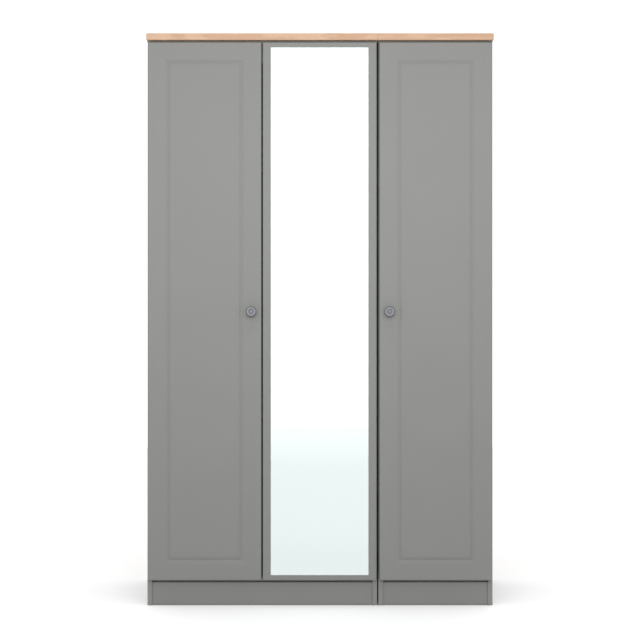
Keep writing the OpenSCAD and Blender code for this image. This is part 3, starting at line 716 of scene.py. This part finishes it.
def run_tree(tree, name, points, turns, sizes, material_name):
    """Runs a tree on points with rotations, and returns the plain mesh that it makes."""
    seed_mesh = bpy.data.meshes.new(name)
    seed_mesh.from_pydata([tuple(p) for p in points], [], [])
    attribute = seed_mesh.attributes.new("turn", "FLOAT_VECTOR", "POINT")
    for datum, turn in zip(attribute.data, turns):
        datum.vector = turn
    holder = bpy.data.objects.new(name + "_points", seed_mesh)
    bpy.context.scene.collection.objects.link(holder)
    modifier = holder.modifiers.new("tree", "NODES")
    modifier.node_group = tree
    sockets = {item.name: item.identifier for item in tree.interface.items_tree
               if item.in_out == "INPUT"}
    for size, value in sizes.items():
        modifier[sockets[size]] = value
    modifier[sockets["Finish"]] = finish(material_name)
    bpy.context.view_layer.update()
    graph = bpy.context.evaluated_depsgraph_get()
    mesh = bpy.data.meshes.new_from_object(holder.evaluated_get(graph))
    mesh.name = name
    bpy.data.objects.remove(holder)
    for attribute in [a for a in mesh.attributes if a.name == "turn"]:
        mesh.attributes.remove(attribute)
    return mesh


def screw_places(node):
    """The tip of each screw's head, and the way that it faces, from the CAD solids."""
    end_slice = 0.3 * MM
    places = []
    for points in solids(node):
        low, high = extent(points)
        size = high - low
        axis = max(range(3), key=lambda i: size[i])
        middle = (low + high) / 2

        def width(level):
            near = [p for p in points if abs(p[axis] - level) < end_slice]
            return max((p - middle).length_squared - (p - middle)[axis] ** 2 for p in near)

        outward = Vector((0, 0, 0))
        outward[axis] = 1 if width(high[axis]) > width(low[axis]) else -1
        tip = middle.copy()
        tip[axis] = high[axis] if outward[axis] > 0 else low[axis]
        places.append((tip, outward))
    return places


# ---------------------------------------------------------------- operators


class WARDROBE_OT_stage(bpy.types.Operator):
    """Floor, world, lights and camera."""

    bl_idname = "wardrobe.stage"
    bl_label = "Stage"

    def execute(self, context):
        scene = context.scene
        scene.view_settings.view_transform = "Standard"
        scene.view_settings.look = "None"

        world = bpy.data.worlds.new("white_studio")
        world.use_nodes = True
        tree = world.node_tree
        tree.nodes.clear()
        # Matt surfaces see a dimmer room than the camera and glossy surfaces do
        matt = add(tree, "ShaderNodeLightPath").outputs["Is Diffuse Ray"]
        strength = add(tree, "ShaderNodeMapRange", {
            "Value": matt, "To Min": BACKDROP_LIGHT, "To Max": ROOM_LIGHT,
        }).outputs[0]
        backdrop = add(tree, "ShaderNodeBackground", {"Color": (1, 1, 1, 1), "Strength": strength})
        add(tree, "ShaderNodeOutputWorld", {"Surface": backdrop.outputs[0]})
        scene.world = world

        side, behind, ahead = FLOOR_REACH
        mesh = bpy.data.meshes.new("studio_floor")
        mesh.from_pydata(
            [(-side, -ahead, 0), (side, -ahead, 0), (side, behind, 0), (-side, behind, 0)],
            [], [(0, 1, 2, 3)],
        )
        mesh.materials.append(finish("painted_studio_floor"))
        floor = bpy.data.objects.new("studio_floor", mesh)
        scene.collection.objects.link(floor)

        for name, (place, aim, size, watts, cone) in SOFTBOXES.items():
            light = bpy.data.lights.new(name, "AREA")
            light.shape, light.size, light.size_y = "RECTANGLE", *size
            light.energy, light.spread = watts, math.radians(cone)
            lamp = bpy.data.objects.new(name, light)
            lamp.location = place
            lamp.rotation_euler = (Vector(place) - Vector(aim)).to_track_quat("Z", "Y").to_euler()
            lamp.visible_camera = lamp.visible_glossy = False
            scene.collection.objects.link(lamp)

        camera = bpy.data.objects.new("camera", bpy.data.cameras.new("camera"))
        camera.data.lens = CAMERA_LENS
        camera.data.sensor_width = CAMERA_SENSOR
        camera.location = CAMERA_PLACE
        camera.rotation_euler = (math.radians(90), 0, 0)
        scene.collection.objects.link(camera)
        scene.camera = camera
        return {"FINISHED"}


class WARDROBE_OT_top_panels(bpy.types.Operator):
    """Oak-faced top panels with softly rounded edges."""

    bl_idname = "wardrobe.top_panels"
    bl_label = "Top panels"

    def execute(self, context):
        radius = context.scene.wardrobe_sizes.oak_round
        for unit in UNITS:
            node = f"{unit}_top_panel"
            low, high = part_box(node)
            bm = bmesh.new()
            bmesh.ops.create_cube(bm, size=1)
            size = Vector(high) - Vector(low)
            middle = (Vector(high) + Vector(low)) / 2
            bmesh.ops.transform(bm, matrix=Matrix.Diagonal(size).to_4x4(), verts=bm.verts)
            bmesh.ops.translate(bm, vec=middle, verts=bm.verts)
            bmesh.ops.bevel(bm, geom=bm.edges, offset=radius, segments=4, profile=0.5,
                            affect="EDGES")
            mesh = to_mesh(bm, node, sharp_degrees=40)
            top = piece(f"{unit}_oak_top", mesh, "carcass", [node], "oak_grain_foil")
        return {"FINISHED"}


class WARDROBE_OT_boards(bpy.types.Operator):
    """Carcass boards with their drillings and a fine edge radius, plinths and backs."""

    bl_idname = "wardrobe.boards"
    bl_label = "Carcass boards"

    def execute(self, context):
        radius = context.scene.wardrobe_sizes.board_round
        for unit in UNITS:
            for board in BOARDS:
                self.soften(f"{unit}_{board}", radius, "matt_melamine", "grey_board")
            self.soften(f"{unit}_plinth", radius, "satin_vinyl_foil", "grey_door_foil")
            dress("lacquered_hardboard", f"{unit}_back_panel")
        return {"FINISHED"}

    def soften(self, node, radius, material_name, slot):
        bm = welded(node)
        bmesh.ops.dissolve_limit(
            bm, angle_limit=math.radians(0.5), verts=bm.verts, edges=bm.edges,
            use_dissolve_boundaries=False,
        )
        low, high = extent([v.co for v in bm.verts])

        def planes(vert):
            return {
                (i, side) for i in range(3) for side, level in ((0, low[i]), (1, high[i]))
                if abs(vert.co[i] - level) < TOUCH
            }

        outer = [
            edge for edge in bm.edges
            if len(planes(edge.verts[0]) & planes(edge.verts[1])) > 1
        ]
        bmesh.ops.bevel(bm, geom=outer, offset=radius, segments=2, profile=0.5,
                        affect="EDGES", clamp_overlap=True)
        mesh = to_mesh(bm, node, sharp_degrees=35)
        board = piece(f"{node}_board", mesh, "carcass", [node], material_name)


class WARDROBE_OT_panelled_doors(bpy.types.Operator):
    """The two doors with a routed moulding pressed into their foil."""

    bl_idname = "wardrobe.panelled_doors"
    bl_label = "Panelled doors"

    def execute(self, context):
        sizes = context.scene.wardrobe_sizes
        for body in ("left_door", "right_door"):
            side = HINGED[body]
            node = f"{side}_door_panel"
            low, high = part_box(node)
            front_y, back_y = low[1], high[1]
            rings = edge_rings(back_y, front_y, sizes.door_round)
            rings.append(flat_ring(sizes.door_round + FLAT_BORDER, front_y))
            rings += moulding_rings(sizes, front_y)
            bm = bmesh.new()
            slab(bm, (low[0], low[2]), (high[0], high[2]), rings, cup_bores(side),
                 back_y, sizes.cup_depth)
            door = piece(f"{side}_panelled_door", to_mesh(bm, node), body, [node],
                         "satin_vinyl_foil")
        return {"FINISHED"}


def flat_ring(inset, y):
    return (inset, inset, y, corner(inset))


def moulding_rings(sizes, front_y):
    """Rings down the outer shoulder, round the channel and up the long inner slope."""
    # (share of the width, share of the depth)
    profile = (
        (0.00, 0.00), (0.10, 0.04), (0.20, 0.13), (0.30, 0.31), (0.37, 0.55), (0.42, 0.78),
        (0.47, 0.94), (0.52, 1.00), (0.56, 0.97), (0.60, 0.82), (0.65, 0.52), (0.70, 0.33),
        (0.77, 0.20), (0.85, 0.10), (0.92, 0.03), (1.00, 0.00),
    )
    start, width = sizes.mould_inset, sizes.mould_width
    rings = [flat_ring(start - MOULDING_BORDER, front_y)]
    rings += [
        flat_ring(start + across * width, front_y + down * sizes.mould_depth)
        for across, down in profile
    ]
    rings.append(flat_ring(start + width + MOULDING_BORDER, front_y))
    return rings


def cup_bores(side):
    """Centre and radius of each hinge cup's bore, from the cups' own solids."""
    # Points this far in belong to the cup, not to its flange
    flange, clearance = 5 * MM, 0.02 * MM
    bores = []
    left_hung = side == "left"
    for points in solids(f"{side}_hinge_cups"):
        back = max(p.y for p in points)
        deep = [p for p in points if p.y < back - flange]
        low, high = extent(deep)
        radius = (high.z - low.z) / 2
        x = low.x + radius if left_hung else high.x - radius
        bores.append((x, (low.z + high.z) / 2, radius + clearance))
    return bores


class WARDROBE_OT_mirror_door(bpy.types.Operator):
    """The flat door frame with a rebate, and the mirror that lies in it."""

    bl_idname = "wardrobe.mirror_door"
    bl_label = "Mirror door"

    def execute(self, context):
        sizes = context.scene.wardrobe_sizes
        low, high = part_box("mirror_door_panel")
        front_y, back_y = low[1], high[1]
        side = sizes.glass_side - sizes.rebate_gap
        end = sizes.glass_end - sizes.rebate_gap
        rings = edge_rings(back_y, front_y, sizes.door_round)
        rings.append(flat_ring(sizes.door_round + FLAT_BORDER, front_y))
        lip, outer_corner, inner_corner = 0.3 * MM, 0.6 * MM, 0.5 * MM
        rings += [
            (side - lip, end - lip, front_y, outer_corner),
            (side, end, front_y + lip, inner_corner),
            (side, end, front_y + sizes.rebate, inner_corner),
        ]
        bm = bmesh.new()
        slab(bm, (low[0], low[2]), (high[0], high[2]), rings, cup_bores("mirror"),
             back_y, sizes.cup_depth)
        door = piece("mirror_door_frame", to_mesh(bm, "mirror_door_panel"), "mirror_door",
                     ["mirror_door_panel"], "satin_vinyl_foil")
        self.glass(sizes)
        dress("moulded_polypropylene", "mirror_tape")
        return {"FINISHED"}

    def glass(self, sizes):
        low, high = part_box("mirror_glass")
        arris, seam = sizes.glass_arris, 0.3 * MM
        arris_depth = 0.6 * arris
        back_corner, side_corner, face_corner = 0.5 * MM, 0.6 * MM, 0.4 * MM
        rings = [
            (seam, seam, high[1], back_corner),
            (0, 0, high[1] - seam, side_corner),
            (0, 0, low[1] + arris_depth, side_corner),
            (arris, arris, low[1], face_corner),
        ]
        bm = bmesh.new()
        slab(bm, (low[0], low[2]), (high[0], high[2]), rings, back_y=high[1])
        mesh = to_mesh(bm, "mirror_glass", sharp_degrees=10)
        glass = piece("mirror_pane", mesh, "mirror_door", ["mirror_glass"],
                      "silvered_float_glass", "polished_glass_edge")
        silvered, polished, facing_front = 0, 1, -0.99
        for face in mesh.polygons:
            face.material_index = silvered if face.normal.y < facing_front else polished


class WARDROBE_OT_knobs(bpy.types.Operator):
    """Turned knobs with a raised rim round a low dome."""

    bl_idname = "wardrobe.knobs"
    bl_label = "Knobs"

    def execute(self, context):
        # (share of the knob's radius, share of its reach): foot, neck, flare, rim, groove, boss
        outline = (
            (0.00, 0.000), (0.53, 0.000), (0.55, 0.020), (0.54, 0.060), (0.47, 0.105),
            (0.41, 0.160), (0.385, 0.230), (0.385, 0.330), (0.42, 0.430), (0.53, 0.520),
            (0.70, 0.600), (0.87, 0.670), (0.97, 0.740), (1.00, 0.800), (0.985, 0.860),
            (0.94, 0.910), (0.86, 0.955), (0.76, 0.985), (0.68, 0.998), (0.60, 0.985),
            (0.52, 0.955), (0.45, 0.930), (0.38, 0.925), (0.30, 0.940), (0.20, 0.960),
            (0.10, 0.970), (0.00, 0.972),
        )
        for side in ("left", "right"):
            node = f"{side}_knob"
            low, high = (Vector(c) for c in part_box(node))
            middle = (low + high) / 2
            radius, reach = (high.z - low.z) / 2, high.y - low.y
            profile = [
                (p.x * radius, p.y * reach) for p in smooth_profile(outline)
                if p.x >= 0
            ]
            bm = bmesh.new()
            turned(bm, Vector((middle.x, high.y, middle.z)), profile)
            mesh = to_mesh(bm, node, sharp_degrees=50)
            self.age_and_shade(mesh, middle, radius, low.y, reach)
            knob = piece(f"{side}_turned_knob", mesh, f"{side}_door", [node], "antique_pewter")
        return {"FINISHED"}

    def age_and_shade(self, mesh, middle, radius, tip_y, reach):
        """Writes each vertex's dark patina, none on the rim's face and little on the boss, and
        painted shade on the rim's outer edge and the back.
        """
        # Share of the reach behind the tip past which the knob's back begins, and its patina with
        # painted shade
        face_depth, back_patina_and_shade = 0.2, 0.8
        # (share of the radius, patina): from 0.90 outwards the dark is painted shade on the rim's
        # outer edge
        polish = ((0.00, 0.2), (0.26, 0.2), (0.42, 0.55), (0.55, 0.25), (0.62, 0.0), (0.78, 0.0),
                  (0.90, 0.4), (0.97, 0.9), (1.00, 0.9))
        patina_and_shade = mesh.attributes.new("patina_and_shade", "FLOAT", "POINT")
        for vert, datum in zip(mesh.vertices, patina_and_shade.data):
            r = math.hypot(vert.co.x - middle.x, vert.co.z - middle.z) / radius
            if vert.co.y > tip_y + face_depth * reach:
                datum.value = back_patina_and_shade
                continue
            for (r0, v0), (r1, v1) in zip(polish, polish[1:]):
                if r <= r1 + 0.001:
                    datum.value = v0 + (v1 - v0) * (r - r0) / (r1 - r0)
                    break


class WARDROBE_OT_screws(bpy.types.Operator):
    """Every screw, with a cross recess in its head, on the seats of the CAD screws."""

    bl_idname = "wardrobe.screws"
    bl_label = "Screws"

    # node: (head base, head tip, head height, shank radius, length), in millimetres
    kinds = {
        "hinge_plate_screws": (3.5, 2.6, 1.5, 1.75, 11.5),
        "hinge_arm_screws": (4.0, 3.0, 1.8, 2.0, 5.4),
        "socket_screws": (3.0, 2.25, 1.5, 1.75, 11.5),
        "left_cup_screws": (3.2, 2.4, 1.2, 1.5, 11.0),
        "mirror_cup_screws": (3.2, 2.4, 1.2, 1.5, 11.0),
        "right_cup_screws": (3.2, 2.4, 1.2, 1.5, 11.0),
        "left_knob_screw": (4.0, 3.0, 2.2, 2.0, 26.0),
        "right_knob_screw": (4.0, 3.0, 2.2, 2.0, 26.0),
        "back_panel_screws": (1.25, 2.6, 1.8, 1.25, 12.2),
    }

    def execute(self, context):
        tree = screw_tree()
        recess = context.scene.wardrobe_sizes.recess_width
        for node, (base, tip, rise, shank, run) in self.kinds.items():
            places = screw_places(node)
            seats = [point - way * rise * MM for point, way in places]
            turns = [way.to_track_quat("Z", "Y").to_euler() for _, way in places]
            sizes = {
                "Head Base": base * MM, "Head Tip": tip * MM, "Head Height": rise * MM,
                "Shank": shank * MM, "Length": run * MM, "Recess": recess,
            }
            mesh = run_tree(tree, node + "_cross", seats, turns, sizes, "bright_zinc_plate")
            body = next(b for b, nodes in frame["record"]["behaviour"]["bodies"].items()
                        if node in nodes)
            screws = piece(node + "_cross", mesh, body, [node])
        return {"FINISHED"}


class WARDROBE_OT_fittings(bpy.types.Operator):
    """Finishes of the fittings that keep their CAD shape."""

    bl_idname = "wardrobe.fittings"
    bl_label = "Fittings"

    def execute(self, context):
        for side in HINGED.values():
            dress("bright_zinc_plate", f"{side}_hinge_arms", f"{side}_hinge_plates",
                  f"{side}_hinge_cups", f"{side}_hinge_pins")
        dress("chromed_tube", "double_hanging_rail", "single_hanging_rail")
        dress("moulded_polypropylene", "hanging_rail_sockets", "door_bumpers")
        dress("black_nylon", "connector_spacers")
        dress("bright_zinc_plate", "shelf_pins", "cam_bolts", "connector_sleeves",
              "connector_bolts")
        dress("cast_zinc", "cam_locks")
        dress("turned_beech", "carcass_dowels")
        return {"FINISHED"}


class WARDROBE_PT_panel(bpy.types.Panel):
    """Sizes, colours and the pieces in the order that they are made."""

    bl_idname = "WARDROBE_PT_panel"
    bl_label = "Wardrobe"
    bl_space_type = "VIEW_3D"
    bl_region_type = "UI"
    bl_category = "Wardrobe"

    def draw(self, context):
        for group in (context.scene.wardrobe_sizes, context.scene.wardrobe_colours):
            box = self.layout.box()
            for name in group.__annotations__:
                box.prop(group, name)
        for operator in OPERATORS:
            self.layout.operator(operator.bl_idname)


OPERATORS = (
    WARDROBE_OT_stage, WARDROBE_OT_top_panels, WARDROBE_OT_boards,
    WARDROBE_OT_panelled_doors, WARDROBE_OT_mirror_door, WARDROBE_OT_knobs,
    WARDROBE_OT_screws, WARDROBE_OT_fittings,
)
CLASSES = (WardrobeSizes, WardrobeColours, *OPERATORS, WARDROBE_PT_panel)


def register():
    for cls in CLASSES:
        bpy.utils.register_class(cls)
    bpy.types.Scene.wardrobe_sizes = PointerProperty(type=WardrobeSizes)
    bpy.types.Scene.wardrobe_colours = PointerProperty(type=WardrobeColours)


def unregister():
    del bpy.types.Scene.wardrobe_colours
    del bpy.types.Scene.wardrobe_sizes
    for cls in reversed(CLASSES):
        bpy.utils.unregister_class(cls)


def main():
    """Builds every piece."""
    register()
    for operator in OPERATORS:
        group, name = operator.bl_idname.split(".")
        getattr(getattr(bpy.ops, group), name)()


if __name__ == "__main__":
    main()
